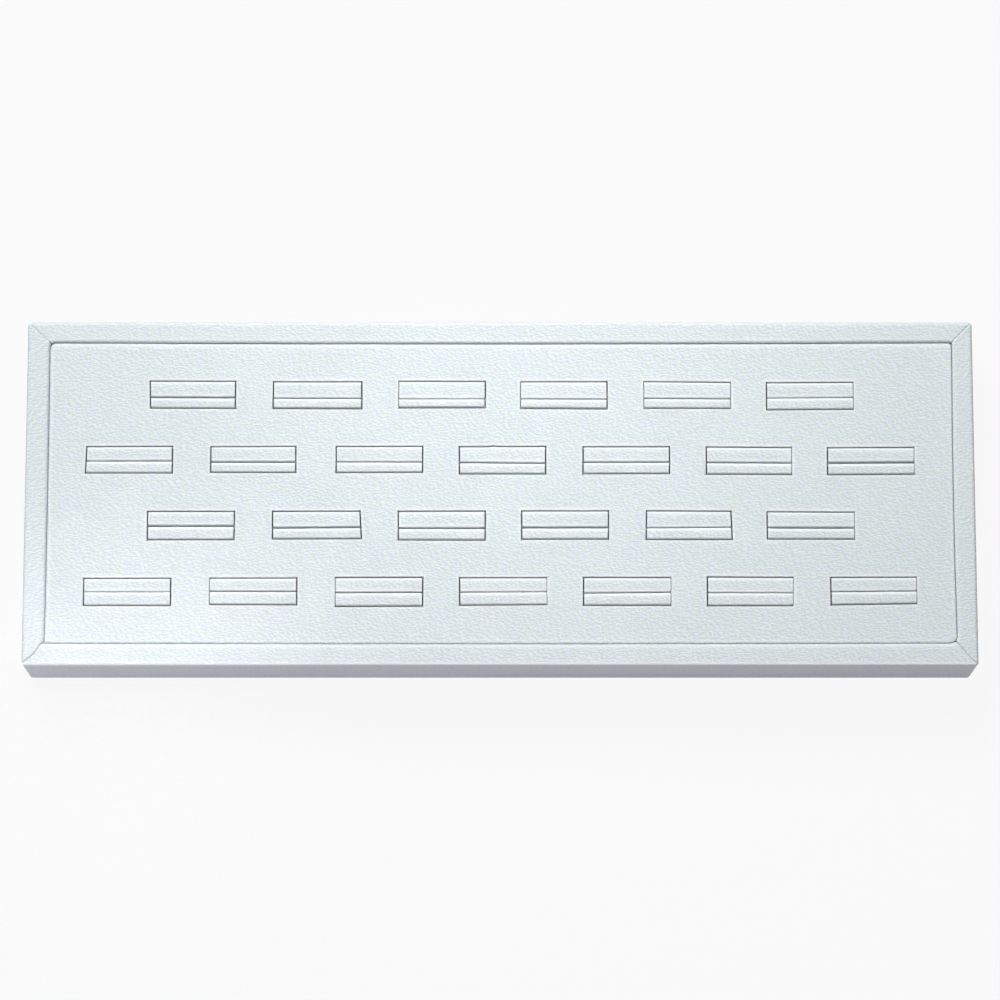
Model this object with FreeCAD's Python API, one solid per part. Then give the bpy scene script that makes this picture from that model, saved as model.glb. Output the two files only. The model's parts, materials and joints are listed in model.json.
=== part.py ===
import FreeCAD
import Part

import math
import os

# Ring tray insert: a shallow wood and board tray, covered in white leatherette and filled
# with a deck of cut windows. Each window holds a ring pad of two foam lobes that meet at a
# slit, and a ring is pressed into the slit. Millimetres, +X along the insert, -Y to the
# front, +Z up. The origin is on the underside, at the middle of the footprint.

Vector = FreeCAD.Vector

# Slot pattern, from the back row to the front row: the columns were set out by hand, and
# those in the middle lie a little to the right of an even spacing
slots_in_rows = (6, 7, 6, 7)
slot_length = 25.8
slot_width = 8.5
rib_between_slots = 10.6
rib_between_rows = 11.1
end_margin = 11.3
edge_margin = 11.4
column_drift = 0.95

# Tray
insert_height = 25.4
end_border_width = 6.35
long_border_width = 6.35
base_board_thickness = 3.0
saw_kerf = 0.1

# Leatherette: the seams at the left corners were cut by hand, in a bow
skin = 0.6
corner_radius = 1.0
outer_edge_radius = 0.9
inner_edge_radius = 1.0
bottom_edge_chamfer = 0.5
flap_width = 14.0
leg_clearance = 0.2
seam_gap = 0.1
back_left_seam_bow = 0.2
front_left_seam_bow = 0.25

# Backing sheet glued over the turned-under flaps
backing_sheet_thickness = 0.4
backing_sheet_margin = 4.0
backing_sheet_corner_radius = 3.0
joggle_run = 1.5
joggle_clearance = 0.5

# Deck
deck_recess = 0.7
groove_gap = 0.45
deck_board_thickness = 2.0
deck_edge_radius = 0.75
window_rim_chamfer = 0.15
batten_clearance = 0.3

# Ring pads: the slit lies a little in front of the window's middle, most of all at the back
pad_clearance = 0.25
pad_rise = 0.1
slit_gap = 0.3
slit_offsets = (-0.9, -0.55, -0.5, -0.15)
crown_height = 0.2

# Footprint and levels worked out from the sizes above
slot_pitch = slot_length + rib_between_slots
row_pitch = slot_width + rib_between_rows
widest_row = max(slots_in_rows)
end_column = (widest_row - 1) / 2 * slot_pitch
pocket_length = widest_row * slot_length + (widest_row - 1) * rib_between_slots + 2 * end_margin
pocket_depth = (len(slots_in_rows) - 1) * row_pitch + slot_width + 2 * edge_margin
insert_length = pocket_length + 2 * end_border_width
insert_depth = pocket_depth + 2 * long_border_width
flap_level = backing_sheet_thickness
board_level = flap_level + skin
floor_level = board_level + base_board_thickness
deck_top = insert_height - deck_recess
deck_underside = deck_top - skin - deck_board_thickness
pad_top = deck_top + pad_rise
pad_length = slot_length - 2 * pad_clearance
pad_width = slot_width - 2 * pad_clearance
row_letters = "abcdefghijklmnopqrstuvwxyz"

same_level = 1e-4
through = 1.0


def slab(length, depth, bottom, top, radius=0.0):
    """A centred block with upright corners of the given radius."""
    corner = Vector(-length / 2, -depth / 2, bottom)
    block = Part.makeBox(length, depth, top - bottom, corner)
    if radius > 0:
        upright = [e for e in block.Edges if abs(e.Vertexes[0].Z - e.Vertexes[1].Z) > same_level]
        block = block.makeFillet(radius, upright)
    return block


def edges_at(solid, level, half_length, half_depth):
    """The edges that lie at a level, within a half length and half depth of the middle."""
    def chosen(edge):
        flat = all(abs(v.Z - level) < same_level for v in edge.Vertexes)
        box = edge.BoundBox
        across = max(box.XMax, -box.XMin) < half_length + same_level
        return flat and across and max(box.YMax, -box.YMin) < half_depth + same_level

    return [edge for edge in solid.Edges if chosen(edge)]


def slot_centres():
    """The row, name and centre of every ring slot: letters run from the back row, numbers from
    the left."""
    centres = []
    for row, count in enumerate(slots_in_rows):
        for n in range(count):
            x = (n - (count - 1) / 2) * slot_pitch
            drift = column_drift * (1 - (x / end_column) ** 2)
            centre = Vector(x + drift, row_centre(row), 0)
            centres.append((row, f"{row_letters[row]}{n + 1}", centre))
    return centres


def row_centre(row):
    """How far a row's middle lies behind the middle of the insert."""
    return ((len(slots_in_rows) - 1) / 2 - row) * row_pitch


def pocket(inset):
    """The open space inside the border, widened all round by an inset."""
    return slab(pocket_length + 2 * inset, pocket_depth + 2 * inset, floor_level, insert_height + through)


def covered_form():
    """The outside of the leatherette: rounded corners and top edges, and a pocket for the deck."""
    block = slab(insert_length, insert_depth, flap_level, insert_height, corner_radius)
    outline = edges_at(block, insert_height, insert_length / 2, insert_depth / 2)
    block = block.makeFillet(outer_edge_radius, outline)
    underside = edges_at(block, flap_level, insert_length / 2, insert_depth / 2)
    form = block.makeChamfer(bottom_edge_chamfer, underside).cut(pocket(0))
    pocket_rim = edges_at(form, insert_height, pocket_length / 2, pocket_depth / 2)
    return form.makeFillet(inner_edge_radius, pocket_rim)


def wood_form():
    """The board and rails inside the leatherette, as one square-edged tray."""
    return slab(insert_length - 2 * skin, insert_depth - 2 * skin, board_level,
                insert_height - skin).cut(pocket(skin))


def corner_cut(across, along, width, bow=0.0):
    """An upright cut at one corner: straight from outside to the corner, then to the pocket's
    corner in an arc of the given bow, and straight on past the flaps. Across and along are the
    signs of the corner's x and y, and a bow above 0 is to the left on the way in."""
    corner = Vector(across * insert_length / 2, along * insert_depth / 2, 0)
    inward = Vector(-across * end_border_width, -along * long_border_width, 0)
    sideways = Vector(-inward.y, inward.x, 0).normalize()
    reach = 3 * flap_width / inward.Length
    course = (corner - inward, corner, corner + inward / 2 + sideways * bow, corner + inward,
              corner + inward * reach)
    near = [point - sideways * width / 2 for point in course]
    far = [point + sideways * width / 2 for point in course]

    def bend(start, middle, end):
        return Part.Arc(start, middle, end) if bow else Part.LineSegment(start, end)

    outline = (Part.LineSegment(near[0], near[1]), bend(*near[1:4]), Part.LineSegment(near[3], near[4]),
               Part.LineSegment(near[4], far[4]),
               Part.LineSegment(far[4], far[3]), bend(*far[3:0:-1]), Part.LineSegment(far[1], far[0]),
               Part.LineSegment(far[0], near[0]))
    face = Part.Face(Part.Wire([curve.toShape() for curve in outline]))
    return face.extrude(Vector(0, 0, insert_height + through))


def mitred_sides(ring, cuts, kind):
    """A closed frame cut through at its corners, as four pieces named after their sides."""
    sides = ring.cut(cuts).Solids
    return {
        f"front_{kind}": min(sides, key=lambda side: side.CenterOfMass.y),
        f"back_{kind}": max(sides, key=lambda side: side.CenterOfMass.y),
        f"left_{kind}": min(sides, key=lambda side: side.CenterOfMass.x),
        f"right_{kind}": max(sides, key=lambda side: side.CenterOfMass.x),
    }


def base_board():
    """The hardboard floor, which carries the rails, the battens and the ring pads."""
    return slab(insert_length - 2 * skin, insert_depth - 2 * skin, board_level, floor_level)


def rails():
    """The four mitred wood rails that stand on the edge of the base board."""
    above = slab(insert_length, insert_depth, floor_level, insert_height)
    cuts = [corner_cut(across, along, saw_kerf) for across in (-1, 1) for along in (-1, 1)]
    return mitred_sides(wood_form().common(above), cuts, "rail")


def rail_wraps():
    """Four leatherette strips: each runs from a flap under the base board, up the outside, over
    the rail and a little way down into the groove beside the deck."""
    under = slab(insert_length - 2 * flap_width, insert_depth - 2 * flap_width, 0, floor_level)
    leg_end = deck_underside + leg_clearance
    inside = slab(pocket_length + 2 * skin, pocket_depth + 2 * skin, floor_level, leg_end)
    cuts = [corner_cut(-1, 1, seam_gap, back_left_seam_bow), corner_cut(1, 1, seam_gap),
            corner_cut(-1, -1, seam_gap, front_left_seam_bow), corner_cut(1, -1, seam_gap)]
    cover = covered_form().cut([wood_form(), under, inside])
    return mitred_sides(cover, cuts, "rail_wrap")


def footprint_wire(inset, level):
    """A rectangle parallel to the outside of the insert."""
    x = insert_length / 2 - inset
    y = insert_depth / 2 - inset
    corners = [Vector(*p, level) for p in ((-x, -y), (x, -y), (x, y), (-x, y))]
    return Part.makePolygon(corners + corners[:1])


def backing_sheet():
    """The paper glued over the flaps: it steps up between their edges to meet the base board."""
    edge = backing_sheet_margin
    sheet = slab(insert_length - 2 * edge, insert_depth - 2 * edge, 0, backing_sheet_thickness,
                 backing_sheet_corner_radius)
    foot = flap_width + joggle_clearance
    head = foot + joggle_run
    step = Part.makeLoft([footprint_wire(foot, flap_level), footprint_wire(head, board_level)], True, True)
    hollow = Part.makeLoft([footprint_wire(foot, 0), footprint_wire(head, skin)], True, True)
    return sheet.fuse(step).cut(hollow).removeSplitter()


def windows():
    """Upright prisms through the deck, one for each ring slot."""
    prisms = []
    for _, _, centre in slot_centres():
        prism = slab(slot_length, slot_width, deck_underside - through, deck_top + through)
        prisms.append(prism.translated(centre))
    return prisms


def deck_block(inset, top):
    """The deck with no windows, drawn in from the groove by an inset."""
    half_gap = groove_gap + inset
    return slab(pocket_length - 2 * half_gap, pocket_depth - 2 * half_gap, deck_underside, top)


def deck_board():
    """The card panel that holds the windows in place."""
    return deck_block(skin, deck_top - skin).cut(windows())


def deck_skin():
    """The leatherette over the deck, rolled down over its edge, with softened window rims."""
    block = deck_block(0, deck_top)
    block = block.makeFillet(deck_edge_radius, edges_at(block, deck_top, pocket_length / 2, pocket_depth / 2))
    sheet = block.cut([deck_block(skin, deck_top - skin)] + windows())
    rims = [edge for _, _, centre in slot_centres() for edge in rim_of_window(sheet, centre)]
    return sheet.makeChamfer(window_rim_chamfer, rims)


def rim_of_window(sheet, centre):
    """The four top edges of the window round a centre."""
    reach = Vector(slot_length / 2 + same_level, slot_width / 2 + same_level, same_level)
    space = FreeCAD.BoundBox(centre - reach, centre + reach)
    space.move(Vector(0, 0, deck_top))
    return [edge for edge in sheet.Edges if space.isInside(edge.BoundBox)]


def battens():
    """Wood strips on the base board, one beside each row of pads: they carry the deck and give
    the pads a wall to press against."""
    length = pocket_length + 2 * (skin - batten_clearance)
    wall = pocket_depth / 2 + skin - batten_clearance
    faces = [wall]
    for row in range(len(slots_in_rows)):
        faces += [row_centre(row) + slot_width / 2, row_centre(row) - slot_width / 2]
    faces.append(-wall)
    strips = {}
    for n in range(len(slots_in_rows) + 1):
        back = faces[2 * n]
        front = faces[2 * n + 1]
        strip = slab(length, back - front, floor_level, deck_underside)
        strip.translate(Vector(0, (back + front) / 2, 0))
        strips[f"deck_batten_{n + 1}"] = strip
    return strips


def lobe_faces(row):
    """The front and back faces of a pad's two lobes, as distances from the window's middle."""
    slit_front = slit_offsets[row] - slit_gap / 2
    slit_back = slit_offsets[row] + slit_gap / 2
    return (-pad_width / 2, slit_front), (slit_back, pad_width / 2)


def lobe_cover(front, back):
    """The leatherette strip round one lobe: up one face, over a low round crown and down again."""
    half = (back - front) / 2
    middle = (front + back) / 2
    radius = (half ** 2 + crown_height ** 2) / (2 * crown_height)

    def level(reach, thickness):
        return pad_top - radius + math.sqrt((radius - thickness) ** 2 - reach ** 2)

    def turn(thickness):
        reach = half - thickness
        foot = level_pair(middle, reach, floor_level)
        shoulder = level_pair(middle, reach, level(reach, thickness))
        crown = Vector(0, middle, level(0, thickness))
        return [Part.LineSegment(foot[0], shoulder[0]), Part.Arc(shoulder[0], crown, shoulder[1]),
                Part.LineSegment(shoulder[1], foot[1])]

    outer = level_pair(middle, half, floor_level)
    inner = level_pair(middle, half - skin, floor_level)
    outline = (turn(0) + [Part.LineSegment(outer[1], inner[1])] + turn(skin)[::-1]
               + [Part.LineSegment(inner[0], outer[0])])
    return along_slot(Part.Face(Part.Wire([curve.toShape() for curve in outline])))


def level_pair(middle, reach, level):
    """Two points at a level, as far in front of a lobe's middle as behind it."""
    return Vector(0, middle - reach, level), Vector(0, middle + reach, level)


def foam_lobe(front, back):
    """The square foam strip inside one lobe's cover."""
    top = pad_top - crown_height - skin
    strip = Part.makeBox(pad_length, back - front - 2 * skin, top - floor_level)
    strip.translate(Vector(-pad_length / 2, front + skin, floor_level))
    return strip


def along_slot(face):
    """A lobe's section carried along the length of its slot."""
    face.translate(Vector(-pad_length / 2, 0, 0))
    return face.extrude(Vector(pad_length, 0, 0))


def ring_pads():
    """A pair of lobe covers for every slot, and the foam strips of each row as one group."""
    covers = {}
    foam = {}
    for row, name, centre in slot_centres():
        pair = [lobe_cover(*faces).translated(centre) for faces in lobe_faces(row)]
        covers[f"ring_pad_cover_{name}"] = Part.makeCompound(pair)
        strips = foam.setdefault(f"foam_cores_row_{row_letters[row]}", [])
        strips += [foam_lobe(*faces).translated(centre) for faces in lobe_faces(row)]
    cores = {name: Part.makeCompound(strips) for name, strips in foam.items()}
    return covers | cores


def main():
    """Builds every piece and writes one STEP file for each."""
    pieces = {"base_board": base_board(), "backing_sheet": backing_sheet()}
    pieces.update(rails())
    pieces.update(rail_wraps())
    pieces.update(battens())
    pieces.update({"deck_board": deck_board(), "deck_skin": deck_skin()})
    pieces.update(ring_pads())
    os.makedirs("parts", exist_ok=True)
    for name, shape in pieces.items():
        shape.exportStep(f"parts/{name}.step")
        print(f"{name}: {len(shape.Solids)} solid(s), {shape.Volume:.1f} mm3, valid {shape.isValid()}")


main()
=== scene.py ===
"""Looks of the ring tray insert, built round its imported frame.

The leatherette covers, the padded lobes, the card and the foam are surfaces worked out on grids.
The rails, battens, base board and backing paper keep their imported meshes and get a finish.
Lengths are in metres, +X along the insert, -Y to the front, +Z up.
"""
import sys
import json
import logging
import math
from dataclasses import dataclass, field, replace
from enum import Enum

import bpy
import numpy as np
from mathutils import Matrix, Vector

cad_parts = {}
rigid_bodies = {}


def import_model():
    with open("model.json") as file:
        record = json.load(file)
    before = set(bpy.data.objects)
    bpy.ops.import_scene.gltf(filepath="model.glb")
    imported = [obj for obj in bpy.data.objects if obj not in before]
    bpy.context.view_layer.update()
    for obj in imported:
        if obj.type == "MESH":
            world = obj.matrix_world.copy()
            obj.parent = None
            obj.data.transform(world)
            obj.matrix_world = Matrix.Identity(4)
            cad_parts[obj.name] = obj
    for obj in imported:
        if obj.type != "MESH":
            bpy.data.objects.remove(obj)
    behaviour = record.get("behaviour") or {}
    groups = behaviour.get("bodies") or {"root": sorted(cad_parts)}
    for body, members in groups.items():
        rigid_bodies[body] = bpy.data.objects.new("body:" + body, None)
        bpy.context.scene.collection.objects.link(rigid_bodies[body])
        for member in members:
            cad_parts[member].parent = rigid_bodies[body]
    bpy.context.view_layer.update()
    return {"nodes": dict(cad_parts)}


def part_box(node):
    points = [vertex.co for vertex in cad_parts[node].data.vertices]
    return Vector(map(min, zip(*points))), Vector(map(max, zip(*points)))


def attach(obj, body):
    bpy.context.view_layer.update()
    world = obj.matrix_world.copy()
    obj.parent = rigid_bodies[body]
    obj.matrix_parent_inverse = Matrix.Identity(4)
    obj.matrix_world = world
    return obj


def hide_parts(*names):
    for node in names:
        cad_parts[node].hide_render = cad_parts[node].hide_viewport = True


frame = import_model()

log = logging.getLogger("ring_tray_insert")

Triple = tuple[float, float, float]
Colour = Triple
Pair = tuple[np.ndarray, np.ndarray]
Settings = dict | None
# A corner is given by whether it is on the right, and whether it is at the back.
Corner = tuple[bool, bool]
FRONT_LEFT, FRONT_RIGHT = (False, False), (True, False)
BACK_LEFT, BACK_RIGHT = (False, True), (True, True)

MM = 0.001
QUARTER_TURN = math.pi / 2
BODY = "root"
PAD_NODE = "ring_pad_cover_"
SHARP_ANGLE = math.radians(42)


class Slot(Enum):
    """Material slots of the record that the pieces take their finish from."""

    BORDER = "border_leatherette"
    DECK = "deck_leatherette"
    PAD = "pad_leatherette"
    FOAM = "foam"
    WOOD = "wood"
    HARDBOARD = "hardboard"
    CARD = "card"
    PAPER = "backing_paper"


class Side(Enum):
    """Sides of the insert, by the quarter turns that carry the front onto each."""

    FRONT = 0
    RIGHT = 1
    BACK = 2
    LEFT = 3

    @property
    def turn(self) -> float:
        """The angle that carries the front onto this side."""
        return self.value * QUARTER_TURN

    @property
    def is_end(self) -> bool:
        """Whether it is one of the two short sides."""
        return self in (Side.RIGHT, Side.LEFT)

    @property
    def corners(self) -> tuple[Corner, Corner]:
        """The corners where it starts and ends, as it runs round the insert."""
        round_about = (FRONT_LEFT, FRONT_RIGHT, BACK_RIGHT, BACK_LEFT)
        return round_about[self.value], round_about[(self.value + 1) % 4]


class Axis(Enum):
    """Level directions of the insert."""

    X = 0
    Y = 1


class Value:
    """A node's output that shader maths is written with."""

    def __init__(self, tree: "Tree", socket: bpy.types.NodeSocket) -> None:
        """Keeps the socket and the tree it belongs to."""
        self.tree = tree
        self.socket = socket

    def __add__(self, other: "Value | float") -> "Value":
        """This value plus another."""
        return self.tree.maths("ADD", self, other)

    __radd__ = __add__

    def __sub__(self, other: "Value | float") -> "Value":
        """This value less another."""
        return self.tree.maths("SUBTRACT", self, other)

    def __rsub__(self, other: float) -> "Value":
        """A number less this value."""
        return self.tree.maths("SUBTRACT", other, self)

    def __mul__(self, other: "Value | float") -> "Value":
        """This value times another."""
        return self.tree.maths("MULTIPLY", self, other)

    __rmul__ = __mul__

    def clamped(self) -> "Value":
        """This value, held between 0 and 1."""
        return self.tree.value("Math", {"operation": "ADD", "use_clamp": True}, {0: self, 1: 0.0})

    def spread(self, low: float, high: float) -> "Value":
        """0 where this value is at the low end, 1 at the high end, and smooth between."""
        return self.tree.value("MapRange", {"interpolation_type": "SMOOTHSTEP"},
                               {"Value": self, "From Min": low, "From Max": high})

    def greater(self, other: "Value") -> "Value":
        """The larger of this value and another."""
        return self.tree.maths("MAXIMUM", self, other)


class Tree:
    """A node tree that is filled from plain expressions."""

    def __init__(self, node_tree: bpy.types.NodeTree) -> None:
        """Empties the tree.

        Args:
            node_tree: The tree of a material or of the world.
        """
        self.nodes = node_tree.nodes
        self.links = node_tree.links
        self.nodes.clear()

    def node(self, kind: str, settings: Settings = None, inputs: Settings = None) -> bpy.types.Node:
        """Adds a node.

        Args:
            kind: The node's type, without its ShaderNode prefix.
            settings: Properties of the node, which are set first.
            inputs: Values or links of its sockets, by name or number.

        Returns:
            The new node.
        """
        node = self.nodes.new(f"ShaderNode{kind}")
        for name, setting in (settings or {}).items():
            setattr(node, name, setting)
        for name, source in (inputs or {}).items():
            if isinstance(source, Value):
                self.links.new(source.socket, node.inputs[name])
            else:
                node.inputs[name].default_value = source
        return node

    def value(self, kind: str, settings: Settings = None, inputs: Settings = None,
              output: str | int = 0) -> Value:
        """Adds a node and takes one of its outputs.

        Args:
            kind: The node's type, without its ShaderNode prefix.
            settings: Properties of the node, which are set first.
            inputs: Values or links of its sockets, by name or number.
            output: The output's name or number.

        Returns:
            The output as a value.
        """
        return Value(self, self.node(kind, settings, inputs).outputs[output])

    def maths(self, operation: str, first: "Value | float", second: "Value | float") -> Value:
        """One Math node on two values."""
        return self.value("Math", {"operation": operation}, {0: first, 1: second})

    def blend(self, factor: "Value | float", first: "Value | Colour",
              second: "Value | Colour") -> Value:
        """A colour between two colours, the second where the factor is 1."""
        colours = [c if isinstance(c, Value) else (*c, 1.0) for c in (first, second)]
        sockets = {0: factor, 6: colours[0], 7: colours[1]}
        return self.value("Mix", {"data_type": "RGBA"}, sockets, 2)

    def scaled(self, vector: Value, scales: Triple) -> Value:
        """A vector with each part multiplied by its own number."""
        return self.value("VectorMath", {"operation": "MULTIPLY"}, {0: vector, 1: scales})

    def shifted(self, vector: Value, steps: Triple) -> Value:
        """A vector with a number added to each part."""
        return self.value("VectorMath", {"operation": "ADD"}, {0: vector, 1: steps})

    def attribute(self, name: str, output: str = "Fac") -> Value:
        """What a piece's mesh holds under a name."""
        return self.value("Attribute", {"attribute_name": name}, None, output)

    def noise(self, vector: Value, detail: float, distortion: float = 0.0) -> Value:
        """Soft noise of period 1 in the vector's own units."""
        return self.value("TexNoise", None, {"Vector": vector, "Scale": 1.0, "Detail": detail,
                                             "Distortion": distortion}, "Fac")

    def in_periods(self, vector: Value, periods_mm: Triple) -> Value:
        """A vector in metres, so that one unit is each period, given in millimetres."""
        return self.scaled(vector, tuple(1 / (period * MM) for period in periods_mm))

    def objects(self, periods_mm: Triple) -> Value:
        """Object coordinates in periods."""
        return self.in_periods(self.value("TexCoord", None, None, "Object"), periods_mm)

    def ray(self, output: str) -> Value:
        """What is known of the ray that meets the surface."""
        return self.value("LightPath", None, None, output)

    def seen(self) -> Value:
        """1 for rays from the camera, off glossy surfaces and through clear ones, 0 for others."""
        direct = self.ray("Is Camera Ray").greater(self.ray("Is Glossy Ray"))
        return direct.greater(self.ray("Is Transmission Ray"))

    def glow(self, kind: str, strength: float, colour: Colour = (1.0, 1.0, 1.0)) -> Value:
        """Light of one colour, of the Emission or the Background kind."""
        return self.value(kind, None, {"Color": (*colour, 1.0), "Strength": strength})

    def mixed(self, share: Value, first: Value, second: Value) -> Value:
        """A shader between two shaders, the second where the share is 1."""
        return self.value("MixShader", None, {0: share, 1: first, 2: second})

    def surface(self, colour: Value, roughness: "Value | float", height: Value, relief: float,
                specular: float = 0.5) -> None:
        """Ends the tree in a plain surface with a relief.

        Args:
            colour: Its base colour.
            roughness: Its roughness.
            height: Its relief, from 0 to 1.
            relief: How far apart heights 0 and 1 lie.
            specular: Its specular level.
        """
        normal = self.value("Bump", None, {"Strength": 1.0, "Distance": relief, "Height": height})
        shader = self.value("BsdfPrincipled", None, {
            "Base Color": colour, "Roughness": roughness, "Specular IOR Level": specular,
            "Normal": normal})
        self.node("OutputMaterial", None, {"Surface": shader})


def new_material(name: str) -> tuple[bpy.types.Material, Tree]:
    """A material with an empty tree."""
    material = bpy.data.materials.new(name)
    material.use_nodes = True
    return material, Tree(material.node_tree)


def new_object(name: str, data: bpy.types.ID) -> bpy.types.Object:
    """An object at the origin, in the scene."""
    thing = bpy.data.objects.new(name, data)
    bpy.context.scene.collection.objects.link(thing)
    return thing


@dataclass(frozen=True)
class Leatherette:
    """White leatherette, embossed with a fine grain that lies along the sheet.

    Stretched over an edge it is smoother and paler, and where hands rub an edge it is greyer: there
    Where the stretch attribute is above 0 its grain is smoother and its colour lighter: a painted
    highlight, of a different strength on each side. Where it is below 0 the colour is greyer along
    outer edges: painted shade. The grain's hollows are darker: painted shade of the relief. Its cut
    edge and its back are backing fabric, in a colour darker and browner than the white fabric:
    painted shade in the gaps.
    """

    name: str
    colour: Colour
    # Colour of the grain's hollows: painted shade of the relief.
    valley: Colour
    # Lighter colour where the stretch attribute is above 0: a painted highlight.
    stretched: Colour = (0.93, 0.965, 0.98)
    # Greyer colour where the stretch attribute is below 0: painted shade along outer edges.
    soiled: Colour = (0.36, 0.36, 0.40)
    green_tint: Colour = (0.978, 1.0, 0.93)
    violet_tint: Colour = (0.998, 0.982, 1.005)
    # Backing fabric of the cut edge and the back: real fabric, darker and browner as painted shade
    # in the gaps.
    cloth: Colour = (0.46, 0.42, 0.37)
    ripple_mm: Triple = (1.0, 0.37, 1.0)
    ripple_step: Triple = (0.3, 1.2, 0.0)
    ripple_bend: float = 0.5
    ripple_reach: float = 0.28
    ripple_share: float = 0.6
    pebble_mm: Triple = (0.7, 0.36, 1.0)
    pebble_smoothness: float = 0.35
    tint_mm: Triple = (1.7, 1.1, 1.0)
    tint_detail: float = 1.0
    tint_range: tuple[float, float] = (0.35, 0.65)
    colour_range: tuple[float, float] = (0.3, 0.75)
    stretched_loss: float = 0.6
    cloth_roughness: float = 0.3
    valley_roughness: float = 0.12
    roughness: float = 0.46
    specular: float = 0.3
    relief: float = 0.075 * MM

    def material(self) -> bpy.types.Material:
        """Builds the material.

        Returns:
            Colour, roughness and relief from two sizes of grain on the sheet's coordinates. The
            ripple is noise less the same noise a step further, so it has no slow waves.
        """
        material, tree = new_material(self.name)
        sheet = tree.attribute("sheet", "Vector")
        # Above 0: stretch and painted highlight; below 0: painted shade along outer edges.
        stretch = tree.attribute("stretch")
        # Where the backing fabric shows, on cut edges and inner faces; its colour carries painted
        # shade in the gaps.
        cloth = tree.attribute("back")

        here = tree.in_periods(sheet, self.ripple_mm)
        further = tree.shifted(here, self.ripple_step)
        ripple = (tree.noise(here, 0.0, self.ripple_bend)
                  - tree.noise(further, 0.0, self.ripple_bend))
        pebble = tree.value("TexVoronoi", {"feature": "SMOOTH_F1"},
                            {"Vector": tree.in_periods(sheet, self.pebble_mm), "Scale": 1.0,
                             "Smoothness": self.pebble_smoothness}, "Distance")
        height = (ripple.spread(-self.ripple_reach, self.ripple_reach) * self.ripple_share
                  + (1 - pebble) * (1 - self.ripple_share))
        tint = tree.noise(tree.in_periods(sheet, self.tint_mm), self.tint_detail)
        tint = tint.spread(*self.tint_range)
        tinted = tree.blend(tint, self.green_tint, self.violet_tint)
        # The grain's hollows take the darker colour: painted shade of the relief.
        base = tree.blend(height.spread(*self.colour_range), self.valley, self.colour)
        toned = tree.value("Mix", {"data_type": "RGBA", "blend_type": "MULTIPLY"},
                           {0: 1.0, 6: base, 7: tinted}, 2)
        # Painted highlight where the stretch attribute is above 0.
        colour = tree.blend(stretch, toned, self.stretched)
        # Painted shade along outer edges where the stretch attribute is below 0.
        colour = tree.blend(0 - stretch, colour, self.soiled)
        # Backing fabric on cut edges and inner faces, darkened as painted shade in the gaps.
        colour = tree.blend(cloth, colour, self.cloth)
        smooth = 1 - stretch * self.stretched_loss
        roughness = self.roughness + cloth * self.cloth_roughness
        roughness = roughness + (1 - height) * self.valley_roughness
        tree.surface(colour, roughness, height * smooth, self.relief, self.specular)
        return material


@dataclass(frozen=True)
class Wood:
    """Pale softwood, sawn along one axis."""

    name: str
    along: Axis
    early: Colour = (0.62, 0.46, 0.29)
    late: Colour = (0.42, 0.27, 0.14)
    ring_mm: float = 1.6
    ring_detail: float = 4.0
    ring_bend: float = 0.4
    ring_range: tuple[float, float] = (0.35, 0.7)
    ring_share: float = 0.7
    band_mm: float = 9.0
    band_detail: float = 1.0
    band_range: tuple[float, float] = (0.3, 0.7)
    stretch: float = 30.0
    roughness: float = 0.6
    late_roughness: float = 0.15
    relief: float = 0.06 * MM

    def material(self) -> bpy.types.Material:
        """Rings and slow bands, drawn out along the grain."""
        material, tree = new_material(self.name)

        def drawn_out(period: float) -> Value:
            """Object coordinates with the period stretched along the grain."""
            periods = [period, period, period]
            periods[self.along.value] = period * self.stretch
            return tree.objects(tuple(periods))

        rings = tree.noise(drawn_out(self.ring_mm), self.ring_detail, self.ring_bend)
        rings = rings.spread(*self.ring_range)
        bands = tree.noise(drawn_out(self.band_mm), self.band_detail).spread(*self.band_range)
        late = (rings * self.ring_share + bands * (1 - self.ring_share)).clamped()
        colour = tree.blend(late, self.early, self.late)
        tree.surface(colour, self.roughness + late * self.late_roughness, 1 - late, self.relief)
        return material


@dataclass(frozen=True)
class Board:
    """Pressed or felted fibre: hardboard, card, paper or foam, by its colours and its size."""

    name: str
    light: Colour
    dark: Colour
    fibre_mm: Triple
    fleck_mm: float
    fleck: float
    roughness: float
    relief: float
    fibre_detail: float = 4.0
    fibre_bend: float = 0.6
    fibre_range: tuple[float, float] = (0.3, 0.7)
    fleck_range: tuple[float, float] = (0.05, 0.6)
    low_roughness: float = 0.1
    specular: float = 0.3

    def material(self) -> bpy.types.Material:
        """Fibres from drawn-out noise, and flecks from the distance to the nearest point."""
        material, tree = new_material(self.name)
        fibres = tree.noise(tree.objects(self.fibre_mm), self.fibre_detail, self.fibre_bend)
        fibres = fibres.spread(*self.fibre_range)
        cells = tree.value("TexVoronoi", {"feature": "F1"},
                           {"Vector": tree.objects((self.fleck_mm,) * 3), "Scale": 1.0}, "Distance")
        height = fibres * (1 - self.fleck) + cells.spread(*self.fleck_range) * self.fleck
        colour = tree.blend(height, self.dark, self.light)
        roughness = self.roughness + (1 - height) * self.low_roughness
        tree.surface(colour, roughness, height, self.relief, self.specular)
        return material


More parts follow.
